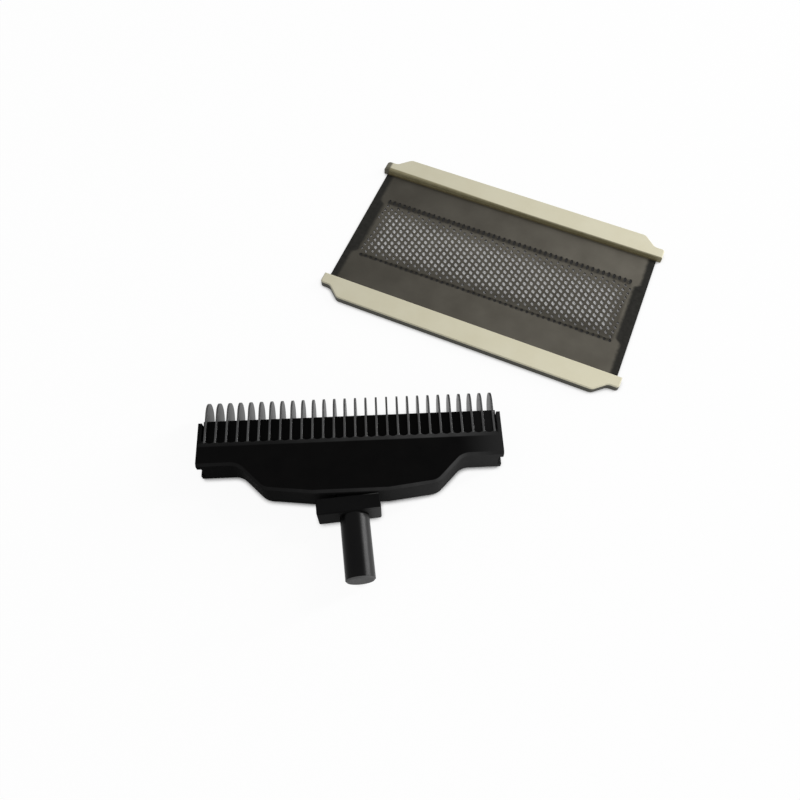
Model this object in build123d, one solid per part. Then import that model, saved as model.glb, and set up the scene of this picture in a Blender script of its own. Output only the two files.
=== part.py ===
from build123d import *
import math
import os

# Shaver head: a cutter block with round-topped blades on a swivelling drive stem, and its flat foil cassette.
# Millimetres. X runs along the cutter block, Y from the stem to the blade tips, Z up from the surface
# that both halves lie on. The origin is on the stem's swivel axis, on the carrier's back face.

# Blades
blade_count = 28
blade_pitch = 1.44
blade_thickness = 0.26
blade_depth = 4.6
blade_leg = 0.7
blade_rise = 3.25
blade_foot = 0.8
blade_clearance = 0.02

# Carrier heights, each counted up from the one before, starting at the swivel axis
keel_below_axis = 1.4
keel_slope_rise = 0.78
waist_rise = 3.57
flange_height = 3.2
cheek_height = 2.95
comb_over_cheek = 0.65

# Carrier lengths, walls and edges
carrier_thickness = 5.0
end_margin = 0.93
end_cheek = 0.5
waist_half_length = 11.45
waist_run = 3.5
waist_radius = 2.2
keel_margin = 0.15
edge_chamfer = 0.35
ledge_chamfer_depth = 0.45
ledge_chamfer_run = 0.75
end_groove_depth = 0.55
end_lip = 1.3
cut_past = 1.0

# Drive stem and its swivel, in degrees each side of straight
swivel_limit = 4.2
rest_lean = 4.2
stop_clearance = 0.06
head_width = 8.34
head_offset = 0.62
head_depth = 4.1
head_height = 2.14
head_round = 0.25
head_chamfer = 0.15
stem_diameter = 3.87
stem_length = 8.58
stem_end_chamfer = 0.2
tang_width = 4.0
tang_depth = 2.2
tang_clearance = 0.1
pip_diameter = 1.5
pip_height = 0.45
pip_clearance = 0.05

# Foil cassette, in its own frame: length along X, width across Y
foil_length = 46.3
foil_opening = 23.07
foil_grip = 1.2
foil_thickness = 0.1
foil_rise = 0.25
foil_clearance = 0.01
field_length = 40.4
field_width = 11.2
mesh_pitch = 2.8
mesh_bar = 0.6
strip_width = 3.62
strip_thickness = 1.1
strip_edge_length = 40.6
strip_cut_run = 1.9
ear_length = 1.65
ear_width = 1.9
ear_round = 0.5
strip_cut_radius = 1.0
strip_edge_chamfer = 0.15

# Where the foil cassette lies, from the swivel axis, and how it is turned
foil_centre_x = 22.9
foil_centre_y = 36.3
foil_turn = -25.65

# Places worked out from the sizes above
mid_z = carrier_thickness / 2
carrier_length = (blade_count - 1) * blade_pitch + 2 * end_margin
head_reach = head_width / 2 + head_offset
keel_half_length = head_reach + keel_margin
keel_y = -keel_below_axis
waist_y = keel_y + keel_slope_rise
flange_y = waist_y + waist_rise
ledge_y = flange_y + flange_height
cheek_top_y = ledge_y + cheek_height
comb_top_y = cheek_top_y + comb_over_cheek
tip_y = comb_top_y + blade_rise
gap_radius = (blade_pitch - blade_thickness) / 2 - blade_clearance
gap_centre_y = ledge_y + gap_radius
foot_y = gap_centre_y - blade_foot
comb_half_length = carrier_length / 2 - end_cheek
core_depth = blade_depth - 2 * blade_leg - 2 * blade_clearance
blade_x = [(number - (blade_count - 1) / 2) * blade_pitch for number in range(blade_count)]

limit_sine = math.sin(math.radians(swivel_limit))
limit_cosine = math.cos(math.radians(swivel_limit))
head_top = (keel_below_axis + stop_clearance + head_reach * limit_sine) / limit_cosine
head_bottom = head_top + head_height
stem_end = head_bottom + stem_length
pocket_half_width = tang_width / 2 + keel_below_axis * limit_sine + tang_clearance


def span_box(low, high):
    """A box between two corners."""
    size = [top - bottom for bottom, top in zip(low, high)]
    middle = [(top + bottom) / 2 for bottom, top in zip(low, high)]
    return Pos(*middle) * Box(*size)


def both_faces(cutter):
    """The same cut on the carrier's front and back faces."""
    return [cutter, mirror(cutter, about=Plane.XY.offset(mid_z))]


def carrier_outline():
    """The carrier seen from the front: comb, cheeks, flange, waist bends and keel."""
    half_length = carrier_length / 2
    right = [
        (comb_half_length, comb_top_y),
        (comb_half_length, cheek_top_y),
        (half_length, cheek_top_y),
        (half_length, flange_y),
        (waist_half_length + waist_run, flange_y),
        (waist_half_length, waist_y),
        (keel_half_length, keel_y),
    ]
    left = [(-x, y) for x, y in reversed(right)]
    face = make_face(Polyline(*right, *left, close=True))
    return fillet(vertices_at(face, right[4:6]), waist_radius)


def vertices_at(face, points):
    """The face's corners at the given points and at their mirror images across Y."""
    tolerance = 1e-4
    return [
        vertex
        for vertex in face.vertices()
        for x, y in points
        if abs(abs(vertex.X) - x) < tolerance and abs(vertex.Y - y) < tolerance
    ]


def carrier_plate():
    """The carrier before its comb, with chamfered lower edges and a groove in each end."""
    plate = extrude(carrier_outline(), carrier_thickness)
    rims = [
        edge
        for face in (plate.faces().sort_by(Axis.Z)[0], plate.faces().sort_by(Axis.Z)[-1])
        for edge in face.edges()
        if edge.center().Y < flange_y + edge_chamfer
    ]
    plate = chamfer(rims, edge_chamfer)
    half_length = carrier_length / 2
    groove = span_box(
        (half_length - end_groove_depth, keel_y, end_lip),
        (half_length + cut_past, cheek_top_y - end_lip, carrier_thickness - end_lip),
    )
    return plate - [groove, mirror(groove, about=Plane.YZ)]


def comb_cuts():
    """What opens the comb: the band in front of the core, the ledge's chamfer, the gaps and blade slots."""
    core_front = mid_z + core_depth / 2
    band = span_box(
        (-comb_half_length, gap_centre_y, core_front),
        (comb_half_length, comb_top_y + cut_past, carrier_thickness + cut_past),
    )
    chamfer_corner = [
        (gap_centre_y, carrier_thickness),
        (gap_centre_y - ledge_chamfer_run, carrier_thickness),
        (gap_centre_y, carrier_thickness - ledge_chamfer_depth),
    ]
    chamfer_face = Plane.YZ.offset(-comb_half_length) * make_face(Polyline(*chamfer_corner, close=True))
    cuts = [band, extrude(chamfer_face, 2 * comb_half_length)]
    gap_depth = carrier_thickness - core_front
    for x in blade_x[:-1]:
        middle = (x + blade_pitch / 2, gap_centre_y, core_front + gap_depth / 2)
        cuts.append(Pos(*middle) * Cylinder(gap_radius, gap_depth))
    slot_half = blade_thickness / 2 + blade_clearance
    slot_front = mid_z + blade_depth / 2 + blade_clearance
    for x in blade_x:
        low = (x - slot_half, foot_y - blade_clearance, core_front)
        high = (x + slot_half, gap_centre_y, slot_front)
        cuts.append(span_box(low, high))
    return [side for cut in cuts for side in both_faces(cut)]


def swivel_pocket():
    """The slot for the stem's tang, with a round top and a blind hole for each pip."""
    mouth = keel_below_axis + cut_past
    pocket_face = Circle(pocket_half_width) + Pos(0, -mouth / 2) * Rectangle(2 * pocket_half_width, mouth)
    pocket_depth = tang_depth + 2 * tang_clearance
    pocket = extrude(Pos(0, 0, mid_z - pocket_depth / 2) * pocket_face, pocket_depth)
    pip_length = tang_depth + 2 * (pip_height + pip_clearance)
    return pocket + Pos(0, 0, mid_z) * Cylinder(pip_diameter / 2 + pip_clearance, pip_length)


def cutter_carrier():
    """The black moulding that holds the blades and the stem."""
    return carrier_plate() - comb_cuts() - swivel_pocket()


def comb_blade():
    """One steel blade at the carrier's middle: a round-topped plate astride the comb, with two feet."""
    top_radius = blade_depth / 2
    plate_height = tip_y - top_radius - foot_y
    notch_height = comb_top_y + blade_clearance - foot_y
    plate = Pos(plate_height / 2, 0) * Rectangle(plate_height, blade_depth)
    plate += Pos(plate_height, 0) * Circle(top_radius)
    notch = Pos(notch_height / 2, 0) * Rectangle(notch_height, core_depth + 2 * blade_clearance)
    profile = Plane.YZ.offset(-blade_thickness / 2) * Pos(foot_y, mid_z) * (plate - notch)
    return extrude(profile, blade_thickness)


def drive_stem():
    """The stem, its off-centre head and the tang with two pips, leaning as it comes to rest on its stop."""
    head = fillet(Box(head_width, head_height, head_depth).edges().filter_by(Axis.Z), head_round)
    rims = head.faces().sort_by(Axis.Z)[0].edges() + head.faces().sort_by(Axis.Z)[-1].edges()
    head = Pos(-head_offset, -(head_top + head_bottom) / 2, 0) * chamfer(rims, head_chamfer)
    stem = Rot(X=90) * Cylinder(stem_diameter / 2, stem_length)
    stem = chamfer(stem.edges().group_by(Axis.Y)[0], stem_end_chamfer)
    stem = Pos(0, -(head_bottom + stem_end) / 2, 0) * stem
    tang_length = head_top + head_round
    tang_face = Circle(tang_width / 2) + Pos(0, -tang_length / 2) * Rectangle(tang_width, tang_length)
    tang = extrude(Pos(0, 0, -tang_depth / 2) * tang_face, tang_depth)
    pips = Cylinder(pip_diameter / 2, tang_depth + 2 * pip_height)
    return Rot(Z=rest_lean) * Pos(0, 0, mid_z) * (head + stem + tang + pips)


def foil_sheet():
    """The foil, with a staggered field of six-sided holes along its middle."""
    column_pitch = mesh_pitch * math.sqrt(3) / 2
    hole_size = mesh_pitch - mesh_bar
    columns = int((field_length - hole_size) / column_pitch) + 1
    rows = int((field_width - hole_size) / mesh_pitch) + 1
    sheet = Rectangle(foil_length, foil_opening + 2 * foil_grip)
    hole = RegularPolygon(hole_size / 2, 6, major_radius=False)
    holes = []
    for column in range(columns):
        count = rows - column % 2
        x = (column - (columns - 1) / 2) * column_pitch
        for row in range(count):
            y = (row - (count - 1) / 2) * mesh_pitch
            holes.append(Pos(x, y) * hole)
    return extrude(Pos(0, 0, foil_rise) * (sheet - holes), foil_thickness)


def foil_strip():
    """One moulded strip on the far side of the foil, with an ear at each end and a groove for the foil."""
    inner_y = foil_opening / 2
    right = [
        (strip_edge_length / 2 + strip_cut_run + ear_length, inner_y),
        (strip_edge_length / 2 + strip_cut_run + ear_length, inner_y + ear_width),
        (strip_edge_length / 2 + strip_cut_run, inner_y + ear_width),
        (strip_edge_length / 2, inner_y + strip_width),
    ]
    left = [(-x, y) for x, y in reversed(right)]
    face = make_face(Polyline(*right, *left, close=True))
    face = fillet(vertices_at(face, right[2:]), strip_cut_radius)
    face = fillet(vertices_at(face, right[1:2]), ear_round)
    body = extrude(face, strip_thickness)
    body = chamfer(body.faces().sort_by(Axis.Z)[-1].edges(), strip_edge_chamfer)
    groove_end = foil_length / 2 + foil_clearance
    groove = span_box(
        (-groove_end, inner_y - foil_grip, foil_rise - foil_clearance),
        (groove_end, inner_y + foil_grip + foil_clearance, foil_rise + foil_thickness + foil_clearance),
    )
    return body - groove


def lay_out(piece):
    """Puts a piece of the foil cassette where the cassette lies."""
    return Pos(foil_centre_x, foil_centre_y, 0) * Rot(Z=foil_turn) * piece


pieces = {
    "cutter_carrier": cutter_carrier(),
    "drive_stem": drive_stem(),
    "foil_sheet": lay_out(foil_sheet()),
    "upper_foil_strip": lay_out(foil_strip()),
    "lower_foil_strip": lay_out(mirror(foil_strip(), about=Plane.XZ)),
}
one_blade = comb_blade()
for number, x in enumerate(blade_x, start=1):
    pieces[f"blade_{number:02d}"] = Pos(x, 0, 0) * one_blade

os.makedirs("parts", exist_ok=True)
for name, piece in pieces.items():
    export_step(piece, f"parts/{name}.step")
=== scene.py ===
import math

import bmesh
import bpy
from mathutils import Matrix, Vector
from mathutils.geometry import delaunay_2d_cdt


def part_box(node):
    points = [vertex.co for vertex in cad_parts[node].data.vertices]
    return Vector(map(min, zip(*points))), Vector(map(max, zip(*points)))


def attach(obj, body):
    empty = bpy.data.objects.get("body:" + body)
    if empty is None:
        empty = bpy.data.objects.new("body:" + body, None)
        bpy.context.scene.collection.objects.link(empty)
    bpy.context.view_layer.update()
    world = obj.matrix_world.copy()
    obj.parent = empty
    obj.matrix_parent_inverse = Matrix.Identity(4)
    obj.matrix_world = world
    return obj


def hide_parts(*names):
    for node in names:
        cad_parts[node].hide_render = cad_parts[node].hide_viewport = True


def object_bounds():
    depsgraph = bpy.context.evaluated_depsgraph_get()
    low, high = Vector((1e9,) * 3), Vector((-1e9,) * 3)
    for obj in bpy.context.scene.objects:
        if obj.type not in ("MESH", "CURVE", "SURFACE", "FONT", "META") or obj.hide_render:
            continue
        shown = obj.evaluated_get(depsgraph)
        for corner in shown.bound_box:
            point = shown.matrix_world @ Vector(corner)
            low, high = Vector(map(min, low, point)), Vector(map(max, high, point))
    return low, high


# Shaver head: cutter block and foil cassette on a pale floor. Blender units are metres.
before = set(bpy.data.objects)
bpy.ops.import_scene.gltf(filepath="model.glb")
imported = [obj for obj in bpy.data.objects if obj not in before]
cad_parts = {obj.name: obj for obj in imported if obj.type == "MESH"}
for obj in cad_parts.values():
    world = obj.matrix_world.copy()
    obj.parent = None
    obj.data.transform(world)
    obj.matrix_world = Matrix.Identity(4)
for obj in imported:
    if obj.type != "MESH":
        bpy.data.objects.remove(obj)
cad_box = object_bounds()
mm = 0.001

# Foil sheet, in its own frame: length along X, width across Y, in millimetres
foil_turn = math.radians(-25.65)
foil_length = 46.3
foil_width = 25.47
field_length = 42.0
field_low = -5.4
field_high = 5.4
mesh_steps = (Vector((0.13, 0.90)), Vector((0.85, -0.452)))
hole_share = 0.64
hole_corner = 0.6
hole_margin = 2.25
hole_margin_share = 0.62
slot_depth = 0.06
upper_slot = {"pitch": 0.87, "width": 0.46, "length": 0.9, "y": 5.88}
lower_slot = {"pitch": 0.87, "width": 0.44, "length": 0.5, "y": -5.76}
upper_band = (5.3, 6.15)
lower_band = (-5.95, -5.45)
border_shade_end = 20.6
bar_end = 20.8
end_band = 1.15
end_band_by_field = 2.0
end_band_fade = 0.35
strip_shade_lines = (-11.4, 11.3)
strip_inner_y = 11.535
ear_tip_x = -23.0
foil_middle = (22.9, 36.3)

# Carrier, in millimetres
ledge_y = 6.15

# Drive stem, in millimetres
head_end_y = -3.95

# Camera, in millimetres and degrees
camera_place = Vector((4.73, -34.78, 97.28))
camera_yaw = math.radians(2.725)
camera_pitch = math.radians(63.38)
camera_roll = math.radians(-0.115)
focal_pixels = 754.8
image_pixels = 800
sensor_width = 36.0

# Light
floor_size = 12.0
floor_glow = 0.94
floor_contact = 0.8
floor_contact_range = (0.36, 0.95)
world_light = 0.56
key_direction = Vector((0.86, 0.33, 0.39))
key_distance = 0.8
key_length = 0.1
key_height = 0.5
key_power = 5.3
fill_direction = Vector((0.6, -0.75, 0.25))
fill_distance = 0.8
fill_length = 0.5
fill_height = 0.3
fill_power = 1.0


# Node helpers


def new_tree(name):
    """A new material and its emptied node tree."""
    material = bpy.data.materials.new(name)
    material.use_nodes = True
    material.node_tree.nodes.clear()
    return material, material.node_tree


def node(tree, kind, settings=None, **inputs):
    """A shader node. Each input is a value or another node's output; spaces in its name are underscores."""
    made = tree.nodes.new(kind)
    for name, value in (settings or {}).items():
        setattr(made, name, value)
    for name, value in inputs.items():
        feed(tree, made.inputs[name.replace("_", " ")], value)
    return made


def feed(tree, socket, value):
    """Links an output to a socket, or sets the socket's value."""
    if isinstance(value, bpy.types.NodeSocket):
        tree.links.new(value, socket)
    else:
        socket.default_value = value


def maths(tree, operation, first, second=0.0, clamp=False):
    """A maths node's output."""
    made = node(tree, "ShaderNodeMath", {"operation": operation, "use_clamp": clamp})
    feed(tree, made.inputs[0], first)
    feed(tree, made.inputs[1], second)
    return made.outputs[0]


def ramp(tree, factor, low, high):
    """A value remapped from 0 and 1 to low and high."""
    made = node(tree, "ShaderNodeMapRange", Value=factor, To_Min=low, To_Max=high)
    return made.outputs[0]


def step(tree, value, start, end):
    """A smooth step of a value, from 0 at start to 1 at end."""
    made = node(tree, "ShaderNodeMapRange", {"interpolation_type": "SMOOTHSTEP"}, Value=value)
    feed(tree, made.inputs["From Min"], start)
    feed(tree, made.inputs["From Max"], end)
    return made.outputs[0]


def blend_colour(tree, factor, first, second):
    """Two colours mixed by a factor."""
    made = node(tree, "ShaderNodeMix", {"data_type": "RGBA"})
    feed(tree, made.inputs[0], factor)
    feed(tree, made.inputs[6], first)
    feed(tree, made.inputs[7], second)
    return made.outputs[2]


def grey(level):
    """A neutral colour."""
    return (level, level, level, 1)


def toned(tree, colour, factor):
    """A colour made lighter or darker by a factor."""
    made = node(tree, "ShaderNodeVectorMath", {"operation": "SCALE"}, Vector=colour, Scale=factor)
    return made.outputs[0]


def axis(tree, vector, name):
    """One component of a vector."""
    return node(tree, "ShaderNodeSeparateXYZ", Vector=vector).outputs[name]


def facing(tree):
    """The surface's own normal."""
    return node(tree, "ShaderNodeNewGeometry").outputs["Normal"]


def between(tree, value, start, end, fade):
    """1 between two values, with soft ends."""
    rise = step(tree, value, start - fade, start + fade)
    fall = step(tree, value, end + fade, end - fade)
    return maths(tree, "MULTIPLY", rise, fall)


def millimetres(tree, stretch=(1.0, 1.0, 1.0), turn=0.0):
    """Object coordinates in millimetres, turned about Z and then stretched."""
    place = node(tree, "ShaderNodeTexCoord").outputs["Object"]
    turned = node(tree, "ShaderNodeVectorRotate", {"rotation_type": "Z_AXIS"}, Vector=place, Angle=turn)
    scale = Vector(stretch) / mm
    return node(tree, "ShaderNodeMapping", Vector=turned.outputs[0], Scale=scale).outputs[0]


def noise(tree, place, per_mm):
    """A noise factor with a given count of features in a millimetre."""
    made = node(tree, "ShaderNodeTexNoise", Vector=place, Scale=per_mm, Detail=3.0)
    return made.outputs["Fac"]


def bumped(tree, height, depth_mm, strength, rounding_mm):
    """A bumped normal, with edges softened over a small radius."""
    soft = node(tree, "ShaderNodeBevel", {"samples": 4}, Radius=rounding_mm * mm)
    made = node(tree, "ShaderNodeBump", Height=height, Distance=depth_mm * mm, Strength=strength)
    tree.links.new(soft.outputs[0], made.inputs["Normal"])
    return made.outputs[0]


def output(tree, shader):
    """Ends a tree with its surface."""
    node(tree, "ShaderNodeOutputMaterial", Surface=shader)


# Materials


def carrier_plastic():
    """Satin black moulding with a fine grain, painted highlights along its chamfers and ledge that grow
    brighter to the right, walls painted lighter to the right as painted light, and the face lighter at its
    right end.
    """
    material, tree = new_tree("carrier_plastic")
    place = millimetres(tree)
    grain = noise(tree, place, 9.0)
    cloud = noise(tree, place, 0.5)
    plain = blend_colour(tree, cloud, (0.0014, 0.0014, 0.0015, 1), (0.0034, 0.0033, 0.0032, 1))
    up = axis(tree, facing(tree), "Z")
    chamfer = between(tree, up, 0.45, 0.9, 0.06)
    by_ledge = between(tree, axis(tree, place, "Y"), ledge_y - 0.5, ledge_y, 0.1)
    # Painted highlight: the chamfers and the ledge edge painted lighter, in patches, and brighter towards the
    # right where the light falls from the right.
    highlight_mask = maths(tree, "MAXIMUM", chamfer, maths(tree, "MULTIPLY", by_ledge, up))
    patchy_highlight = maths(tree, "MULTIPLY", highlight_mask, ramp(tree, cloud, 0.4, 1.1), clamp=True)
    along = axis(tree, place, "X")
    lit_from_right = step(tree, along, -14.0, 18.0)
    painted_highlight = blend_colour(tree, lit_from_right, grey(0.011), grey(0.055))
    wall = step(tree, maths(tree, "ABSOLUTE", up), 0.5, 0.3)
    # Painted light: the walls painted lighter to the right, where the light falls from the right.
    painted_wall_light = blend_colour(tree, lit_from_right, grey(0.001), grey(0.03))
    colour = blend_colour(tree, patchy_highlight, plain, painted_highlight)
    # The face lighter towards its right end.
    colour = blend_colour(tree, step(tree, along, 14.0, 20.6), colour, grey(0.02))
    colour = blend_colour(tree, wall, colour, painted_wall_light)
    shader = node(
        tree,
        "ShaderNodeBsdfPrincipled",
        Base_Color=colour,
        Roughness=maths(tree, "ADD", ramp(tree, grain, 0.34, 0.54), ramp(tree, wall, 0.0, 0.42)),
        Specular_IOR_Level=0.02,
        Normal=bumped(tree, grain, 0.012, 0.5, 0.12),
    )
    output(tree, shader.outputs[0])
    return material


def stem_plastic():
    """Black moulding: a round stem polished by the bush, its right-facing side painted lighter as a painted
    highlight, a dull head whose right wall is painted lighter as painted light, and an end face painted
    lighter as a painted highlight.
    """
    material, tree = new_tree("stem_plastic")
    place = millimetres(tree)
    lines = noise(tree, millimetres(tree, (1.0, 0.06, 1.0)), 7.0)
    cloud = noise(tree, place, 0.8)
    normal = facing(tree)
    height = axis(tree, place, "Y")
    endwise = step(tree, maths(tree, "ABSOLUTE", axis(tree, normal, "Y")), 0.4, 0.7)
    by_head = step(tree, height, head_end_y - 0.3, head_end_y)
    dull = maths(tree, "MAXIMUM", endwise, by_head)
    colour = blend_colour(tree, cloud, (0.0010, 0.0010, 0.0011, 1), (0.0024, 0.0024, 0.0025, 1))
    # Painted highlight: the side facing right painted lighter, widening the highlight along the stem.
    lit_from_right = step(tree, axis(tree, normal, "X"), 0.2, 0.75)
    side = maths(tree, "MULTIPLY", lit_from_right, step(tree, dull, 0.6, 0.2))
    colour = blend_colour(tree, side, colour, grey(0.034))
    # Painted light: the head's wall painted lighter on its right part.
    wall = maths(tree, "MULTIPLY", endwise, step(tree, axis(tree, place, "X"), 1.2, 3.2))
    colour = blend_colour(tree, maths(tree, "MULTIPLY", wall, by_head), colour, grey(0.055))
    # Painted highlight: the end face of the stem painted lighter.
    end = maths(tree, "MULTIPLY", endwise, step(tree, height, head_end_y - 3.0, head_end_y - 5.0))
    colour = blend_colour(tree, end, colour, grey(0.1))
    shader = node(
        tree,
        "ShaderNodeBsdfPrincipled",
        Base_Color=colour,
        Roughness=maths(tree, "ADD", ramp(tree, lines, 0.24, 0.34), ramp(tree, dull, 0.0, 0.55)),
        Specular_IOR_Level=0.08,
        Normal=bumped(tree, lines, 0.006, 0.35, 0.1),
    )
    output(tree, shader.outputs[0])
    return material


def blade_steel():
    """Ground steel with fine lines, a little change from blade to blade, and darker cut edges."""
    material, tree = new_tree("blade_steel")
    lines = noise(tree, millimetres(tree, (1.0, 0.2, 1.0)), 12.0)
    cloud = noise(tree, millimetres(tree, (1.0, 0.15, 0.15)), 0.9)
    side = blend_colour(tree, cloud, grey(0.07), (0.13, 0.13, 0.128, 1))
    edge = blend_colour(tree, cloud, grey(0.03), grey(0.1))
    sideways = maths(tree, "ABSOLUTE", axis(tree, facing(tree), "X"))
    colour = blend_colour(tree, step(tree, sideways, 0.3, 0.8), edge, side)
    shader = node(
        tree,
        "ShaderNodeBsdfPrincipled",
        Base_Color=colour,
        Metallic=1.0,
        Specular_Tint=grey(0.68),
        Roughness=ramp(tree, lines, 0.24, 0.42),
        Normal=bumped(tree, lines, 0.004, 0.3, 0.04),
    )
    output(tree, shader.outputs[0])
    return material


def foil_metal():
    """Dull dark nickel with faint rolling lines, painted lighter to the right as painted light, with painted
    shade in bands by the border slots, at both short ends and in lines along the strips."""
    material, tree = new_tree("foil_metal")
    place = millimetres(tree)
    lines = noise(tree, millimetres(tree, (0.08, 1.0, 1.0)), 6.0)
    cloud = noise(tree, place, 0.22)
    along = axis(tree, place, "X")
    across = axis(tree, place, "Y")
    sheet = blend_colour(tree, cloud, (0.055, 0.05, 0.041, 1), (0.103, 0.096, 0.08, 1))
    # Painted light: the sheet lighter towards its right end.
    sheet = toned(tree, sheet, ramp(tree, step(tree, along, -40.0, 40.0), 0.62, 1.58))
    shaded = maths(tree, "MULTIPLY", step(tree, along, -4.0, 24.0), step(tree, across, -1.0, -6.0))
    sheet = toned(tree, sheet, ramp(tree, shaded, 1.0, 0.76))
    mottle = noise(tree, place, 1.6)
    wavy = maths(tree, "ADD", across, ramp(tree, mottle, -0.35, 0.35))
    # Painted shade: darker bands along both rows of border slots.
    bands = maths(tree, "ADD", between(tree, wavy, *upper_band, 0.25), between(tree, wavy, *lower_band, 0.2))
    border_shade = maths(tree, "MULTIPLY", bands, between(tree, along, -border_shade_end, border_shade_end, 0.3))
    sheet = toned(tree, sheet, ramp(tree, border_shade, 1.0, 0.45))
    by_field = between(tree, across, field_low, field_high, 0.5)
    corner = maths(tree, "SUBTRACT", along, maths(tree, "MULTIPLY", across, 2.5))
    bars = maths(tree, "MULTIPLY", by_field, between(tree, along, -bar_end, bar_end, 0.3))
    bar_tone = ramp(tree, step(tree, corner, -30.0, 25.0), 0.3, -0.4)
    sheet = toned(tree, sheet, maths(tree, "ADD", 1.0, maths(tree, "MULTIPLY", bars, bar_tone)))
    # Painted shade: darker bands at both short ends, wider beside the field.
    ragged = maths(tree, "ADD", maths(tree, "ABSOLUTE", along), ramp(tree, mottle, -0.25, 0.25))
    inward = maths(tree, "ADD", ragged, maths(tree, "MULTIPLY", by_field, end_band_by_field - end_band))
    band_start = foil_length / 2 - end_band
    band = step(tree, inward, band_start - end_band_fade, band_start + end_band_fade)
    dark = blend_colour(tree, mottle, (0.012, 0.012, 0.0105, 1), (0.032, 0.031, 0.028, 1))
    colour = blend_colour(tree, band, sheet, dark)
    # Painted shade: olive lines along both strips, where the strips shade the foil, and not metallic there.
    low_line, high_line = strip_shade_lines
    painted_shade = maths(tree, "SUBTRACT", 1.0, between(tree, across, low_line, high_line, 0.2))
    colour = blend_colour(tree, painted_shade, colour, (0.13, 0.105, 0.052, 1))
    shader = node(
        tree,
        "ShaderNodeBsdfPrincipled",
        Base_Color=colour,
        Metallic=maths(tree, "SUBTRACT", 1.0, painted_shade),
        Roughness=ramp(tree, lines, 0.34, 0.5),
        Normal=bumped(tree, lines, 0.004, 0.25, 0.02),
    )
    output(tree, shader.outputs[0])
    return material


def slot_shade_metal():
    """The floor of the foil's border slots, near black as painted shade."""
    material, tree = new_tree("slot_shade_metal")
    cloud = noise(tree, millimetres(tree), 1.5)
    colour = blend_colour(tree, cloud, (0.005, 0.0047, 0.0045, 1), (0.014, 0.013, 0.012, 1))
    shader = node(
        tree,
        "ShaderNodeBsdfPrincipled",
        Base_Color=colour,
        Metallic=0.6,
        Roughness=ramp(tree, cloud, 0.5, 0.7),
    )
    output(tree, shader.outputs[0])
    return material


def strip_plastic():
    """Cream moulding, yellowed unevenly, lighter towards one end, with walls, inner margin and ear tip
    painted darker as painted shade.
    """
    material, tree = new_tree("strip_plastic")
    place = millimetres(tree, turn=-foil_turn)
    grain = noise(tree, place, 7.0)
    cloud = noise(tree, place, 0.28)
    face = blend_colour(tree, cloud, (0.61, 0.57, 0.41, 1), (0.68, 0.65, 0.50, 1))
    middle = Matrix.Rotation(-foil_turn, 2) @ Vector(foil_middle)
    along = maths(tree, "SUBTRACT", axis(tree, place, "X"), middle.x)
    across = maths(tree, "SUBTRACT", axis(tree, place, "Y"), middle.y)
    # The face lighter towards the right ends of the strips.
    face = toned(tree, face, ramp(tree, step(tree, along, -50.0, 50.0), 0.84, 1.16))
    # Painted shade: olive-brown for the walls, darker on the lower strip.
    painted_shade = blend_colour(tree, noise(tree, place, 1.1), (0.15, 0.126, 0.06, 1), (0.24, 0.218, 0.13, 1))
    painted_shade = blend_colour(tree, step(tree, across, 0.0, -0.1), painted_shade, (0.05, 0.048, 0.036, 1))
    # Painted shade on the upper strip's inner margin, wider towards its left end.
    margin = maths(tree, "ADD", across, ramp(tree, step(tree, along, -26.0, 6.0), -0.55, -0.1))
    outward = step(tree, margin, strip_inner_y - 0.1, strip_inner_y + 0.2)
    unshaded = maths(tree, "MAXIMUM", outward, step(tree, across, 0.1, 0.0))
    up = axis(tree, facing(tree), "Z")
    colour = blend_colour(tree, maths(tree, "MULTIPLY", step(tree, up, 0.35, 0.8), unshaded), painted_shade, face)
    # Painted shade: the tip of the upper strip's left ear painted dark.
    by_tip = step(tree, along, ear_tip_x + 0.2, ear_tip_x - 0.2)
    tip = maths(tree, "MULTIPLY", by_tip, ramp(tree, step(tree, across, 0.0, 0.1), 0.0, 0.85))
    colour = blend_colour(tree, tip, colour, (0.05, 0.046, 0.032, 1))
    shader = node(
        tree,
        "ShaderNodeBsdfPrincipled",
        Base_Color=colour,
        Roughness=ramp(tree, grain, 0.45, 0.62),
        Specular_IOR_Level=0.35,
        Normal=bumped(tree, grain, 0.01, 0.35, 0.06),
    )
    output(tree, shader.outputs[0])
    return material


def seen_white(tree, shader, amount):
    """Mixes an amount of plain white into a shader, for rays from the camera and in reflections and glass."""
    path = node(tree, "ShaderNodeLightPath").outputs
    seen = maths(tree, "MAXIMUM", path["Is Camera Ray"], path["Is Glossy Ray"])
    seen = maths(tree, "MAXIMUM", seen, path["Is Transmission Ray"])
    kind = "ShaderNodeBackground" if shader.node.type == "BACKGROUND" else "ShaderNodeEmission"
    white = node(tree, kind, Color=(1, 1, 1, 1), Strength=1.0)
    mixed = node(tree, "ShaderNodeMixShader")
    feed(tree, mixed.inputs[0], maths(tree, "MULTIPLY", seen, amount))
    tree.links.new(shader, mixed.inputs[1])
    tree.links.new(white.outputs[0], mixed.inputs[2])
    return mixed.outputs[0]


def floor_paper():
    """Plain pale paper, which keeps the shadow, and more of it close under the part."""
    material, tree = new_tree("floor_paper")
    fibre = noise(tree, millimetres(tree), 0.4)
    colour = blend_colour(tree, fibre, grey(0.9), grey(0.93))
    paper = node(tree, "ShaderNodeBsdfDiffuse", Color=colour)
    openness = node(tree, "ShaderNodeAmbientOcclusion", {"samples": 8}, Distance=floor_contact * mm)
    open_part = step(tree, openness.outputs["AO"], *floor_contact_range)
    glow = maths(tree, "MULTIPLY", open_part, floor_glow)
    output(tree, seen_white(tree, paper.outputs[0], glow))
    return material


# The perforated foil


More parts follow.
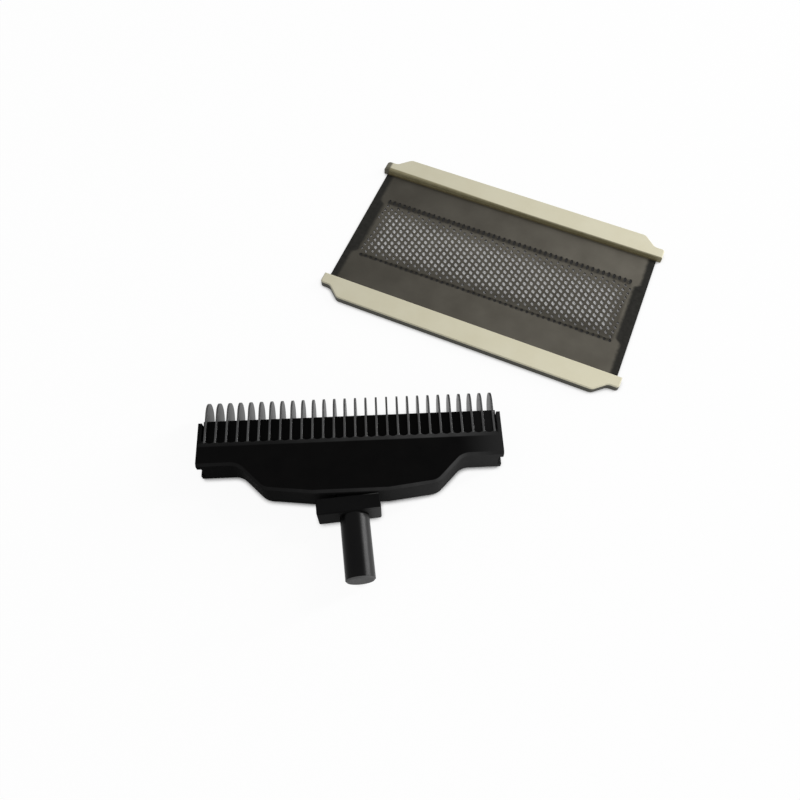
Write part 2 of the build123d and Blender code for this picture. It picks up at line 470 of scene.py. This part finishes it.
def eight_sided(x, y, width, length):
    """The corners of an octagon with flat sides, of the given size."""
    half_turn = math.pi / 8
    half_x = width / 2 / math.cos(half_turn)
    half_y = length / 2 / math.cos(half_turn)
    turns = [half_turn * (1 + 2 * side) for side in range(8)]
    return [Vector((x + half_x * math.cos(turn), y + half_y * math.sin(turn))) for turn in turns]


def mesh_holes():
    """The field of four-sided holes with blunt corners, on a skewed lattice, smaller by its edges."""
    first, second = mesh_steps
    half = hole_share / 2
    corner = half * hole_corner
    shape = [(half, corner), (corner, half), (-corner, half), (-half, corner)]
    shape += [(-a, -b) for a, b in shape]
    outline = [first * b + second * a for a, b in shape]
    half_x = field_length / 2
    half_y = (field_high - field_low) / 2
    reach = int(field_length)
    middle = Vector((0.0, (field_low + field_high) / 2))
    holes = []
    for column in range(-reach, reach + 1):
        for row in range(-reach, reach + 1):
            place = first * row + second * column
            inset = min(half_x - abs(place.x), half_y - abs(place.y))
            size = hole_margin_share + (1 - hole_margin_share) * min(inset / hole_margin, 1.0)
            hole = [place + point * size for point in outline]
            if all(abs(p.x) < half_x and abs(p.y) < half_y for p in hole):
                holes.append([middle + point for point in hole])
    return holes


def border_slots():
    """The rows of blind slots along both long sides of the field."""
    slots = []
    for slot in (upper_slot, lower_slot):
        count = int(field_length / slot["pitch"])
        for number in range(count):
            x = (number - (count - 1) / 2) * slot["pitch"]
            slots.append(eight_sided(x, slot["y"], slot["width"], slot["length"]))
    return slots


def foil_mesh(thickness):
    """The foil as one closed mesh, in its own frame: through holes, blind border slots and walls."""
    signs = ((-1, -1), (1, -1), (1, 1), (-1, 1))
    rim = [Vector((x * foil_length / 2, y * foil_width / 2)) for x, y in signs]
    holes = mesh_holes()
    slots = border_slots()
    points = []
    loops = []
    for loop in [rim] + holes + slots:
        loops.append(list(range(len(points), len(points) + len(loop))))
        points.extend(loop)
    first_slot = 1 + len(holes)
    flat, _, faces, _, _, sources = delaunay_2d_cdt(points, [], loops, 1, 1e-6)
    mesh = bmesh.new()
    top = [mesh.verts.new((p.x, p.y, thickness)) for p in flat]
    bottom = [mesh.verts.new((p.x, p.y, 0.0)) for p in flat]
    floors = {}
    recessed = set()
    for face, source in zip(faces, sources):
        inside = max(source)
        if 0 < inside < first_slot:
            continue
        mesh.faces.new([bottom[i] for i in reversed(face)])
        if inside == 0:
            mesh.faces.new([top[i] for i in face])
            continue
        for i in face:
            if i not in floors:
                floors[i] = mesh.verts.new((flat[i].x, flat[i].y, thickness - slot_depth))
        recessed.add(mesh.faces.new([floors[i] for i in face]))
    for number, loop in enumerate(loops):
        foot = floors if number >= first_slot else bottom
        for i, j in zip(loop, loop[1:] + loop[:1]):
            mesh.faces.new((top[i], top[j], foot[j], foot[i]))
    bmesh.ops.recalc_face_normals(mesh, faces=mesh.faces)
    # The slot floors take the near-black painted shade.
    for face in recessed:
        face.material_index = 1
    bmesh.ops.scale(mesh, vec=(mm, mm, mm), verts=mesh.verts)
    data = bpy.data.meshes.new("perforated_foil")
    mesh.to_mesh(data)
    mesh.free()
    return data


def perforated_foil():
    """The finely perforated foil, in place of the CAD sheet with its coarse holes."""
    low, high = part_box("foil_sheet")
    data = foil_mesh((high.z - low.z) / mm)
    foil = bpy.data.objects.new("perforated_foil", data)
    bpy.context.scene.collection.objects.link(foil)
    centre = (low + high) / 2
    foil.matrix_world = Matrix.Translation((centre.x, centre.y, low.z)) @ Matrix.Rotation(foil_turn, 4, "Z")
    data.materials.append(foil_metal())
    data.materials.append(slot_shade_metal())
    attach(foil, "head_set")
    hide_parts("foil_sheet")


# Stage, light and camera


def paint(names, material):
    """Gives CAD nodes their finish."""
    for name in names:
        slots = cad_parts[name].data.materials
        slots.clear()
        slots.append(material)


def lay_floor():
    """A wide floor just under the part."""
    data = bpy.data.meshes.new("floor")
    half = floor_size / 2
    corners = [(-half, -half, 0), (half, -half, 0), (half, half, 0), (-half, half, 0)]
    data.from_pydata(corners, [], [(0, 1, 2, 3)])
    floor = bpy.data.objects.new("floor", data)
    bpy.context.scene.collection.objects.link(floor)
    floor.location.z = -0.01 * mm
    data.materials.append(floor_paper())


def softbox(name, direction, distance, length, height, power):
    """An area light that faces the part."""
    data = bpy.data.lights.new(name, "AREA")
    data.shape = "RECTANGLE"
    data.size = length
    data.size_y = height
    data.energy = power
    lamp = bpy.data.objects.new(name, data)
    bpy.context.scene.collection.objects.link(lamp)
    away = direction.normalized()
    lamp.location = (cad_box[0] + cad_box[1]) / 2 + away * distance
    lamp.rotation_euler = (-away).to_track_quat("-Z", "Y").to_euler()


def light_scene():
    """A soft key from the right, a weak low fill from the right and front, and a pale world."""
    softbox("key", key_direction, key_distance, key_length, key_height, key_power)
    softbox("fill", fill_direction, fill_distance, fill_length, fill_height, fill_power)
    world = bpy.data.worlds.new("studio")
    world.use_nodes = True
    tree = world.node_tree
    tree.nodes.clear()
    sky = node(tree, "ShaderNodeBackground", Color=(1, 1, 1, 1), Strength=world_light)
    node(tree, "ShaderNodeOutputWorld", Surface=seen_white(tree, sky.outputs[0], 1.0))
    bpy.context.scene.world = world


def place_camera():
    """The camera of the photograph."""
    forward = Vector((
        math.sin(camera_yaw) * math.cos(camera_pitch),
        math.cos(camera_yaw) * math.cos(camera_pitch),
        -math.sin(camera_pitch),
    ))
    level = Vector((math.cos(camera_yaw), -math.sin(camera_yaw), 0.0))
    right = Matrix.Rotation(camera_roll, 3, forward) @ level
    up = right.cross(forward)
    data = bpy.data.cameras.new("camera")
    data.sensor_width = sensor_width
    data.lens = sensor_width * focal_pixels / image_pixels
    data.clip_start = mm
    camera = bpy.data.objects.new("camera", data)
    bpy.context.scene.collection.objects.link(camera)
    turn = Matrix((right, up, -forward)).transposed()
    camera.matrix_world = Matrix.Translation(camera_place * mm) @ turn.to_4x4()
    bpy.context.scene.camera = camera


blades = [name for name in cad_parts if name.startswith("blade_")]
paint(["cutter_carrier"], carrier_plastic())
paint(["drive_stem"], stem_plastic())
paint(blades, blade_steel())
paint(["upper_foil_strip", "lower_foil_strip"], strip_plastic())
perforated_foil()
lay_floor()
light_scene()
place_camera()
bpy.context.scene.view_settings.view_transform = "Standard"
